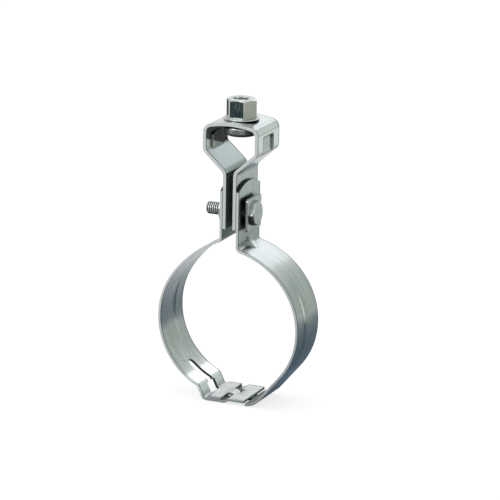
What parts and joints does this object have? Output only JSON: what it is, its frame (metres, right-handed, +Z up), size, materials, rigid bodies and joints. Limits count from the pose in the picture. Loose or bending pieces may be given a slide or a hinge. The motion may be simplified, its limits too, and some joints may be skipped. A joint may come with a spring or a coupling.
{
  "type": "split ring hanger",
  "caption": "Pipe hanger: hooked half-rings of steel strap clamped by a bolt through upright lugs, under a folded stirrup with a swivelling threaded hexagon nut for the rod.",
  "frame": {"origin": "centre of the clamped pipe, in the middle of the strap's width", "axes": "+Y along the pipe, +Z up towards the hanging rod, +X towards the clamp bolt's head"},
  "size_m": [0.0938, 0.032, 0.1868],
  "materials": {
    "strap": "rolled, bright",
    "turned": "turned, bright",
    "fastener": "formed, bright"
  },
  "bodies": {
    "rod_nut": {"suspension_nut": "turned"},
    "stirrup": {"stirrup": "strap"},
    "ring": {"left_band": "strap", "right_band": "strap", "clamp_bolt": "fastener", "square_washer": "fastener", "spring_washer": "fastener", "clamp_nut": "fastener"}
  },
  "joints": [
    {"name": "stirrup_turn", "type": "hinge", "parent": "rod_nut", "child": "stirrup", "pos_m": [0, 0, 0.1236], "axis": [0, 0, 1], "continuous": true},
    {"name": "ring_swing", "type": "hinge", "parent": "stirrup", "child": "ring", "pos_m": [0, 0, 0.06705], "axis": [1, 0, 0], "range_deg": [-90, 90]}
  ]
}
